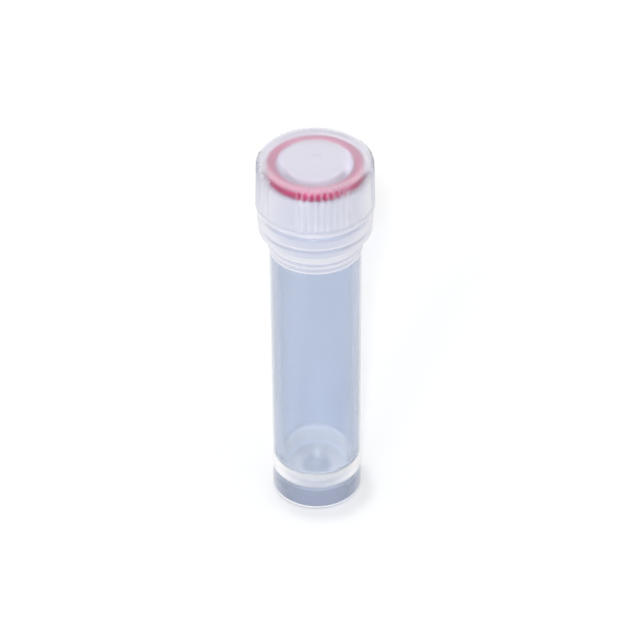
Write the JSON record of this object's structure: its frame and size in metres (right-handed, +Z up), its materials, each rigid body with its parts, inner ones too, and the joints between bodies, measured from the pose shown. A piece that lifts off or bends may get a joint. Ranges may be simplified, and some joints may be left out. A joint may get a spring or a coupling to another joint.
{
  "type": "cryovial",
  "caption": "Self-standing tube with a hollow foot and a collar under its external thread, closed by a ribbed screw cap that presses a soft sealing ring on the rim.",
  "frame": {"origin": "centre of the foot, on the surface that the tube stands on", "axes": "+Z up along the tube's axis towards the cap, and -Y towards the viewer"},
  "size_m": [0.0138, 0.0138, 0.0487],
  "materials": {
    "tube_plastic": "natural polypropylene, smooth and slightly milky",
    "cap_plastic": "natural polypropylene, a little milkier than the tube",
    "ring_rubber": "pink silicone rubber, matt"
  },
  "bodies": {
    "tube": {"tube": "tube_plastic"},
    "o_ring": {"o_ring": "ring_rubber"},
    "cap": {"cap": "cap_plastic"}
  },
  "joints": [
    {"name": "cap_lift", "type": "slide", "parent": "tube", "child": "o_ring", "axis": [0, 0, 1], "range_m": [0, 0.0088]},
    {"name": "cap_turn", "type": "hinge", "parent": "o_ring", "child": "cap", "pos_m": [0, 0, 0.045], "axis": [0, 0, 1], "range_deg": [0, 1440]}
  ],
  "couplings": [
    {"joint": "cap_turn", "follows": "cap_lift", "rad_per_m": 2856}
  ]
}
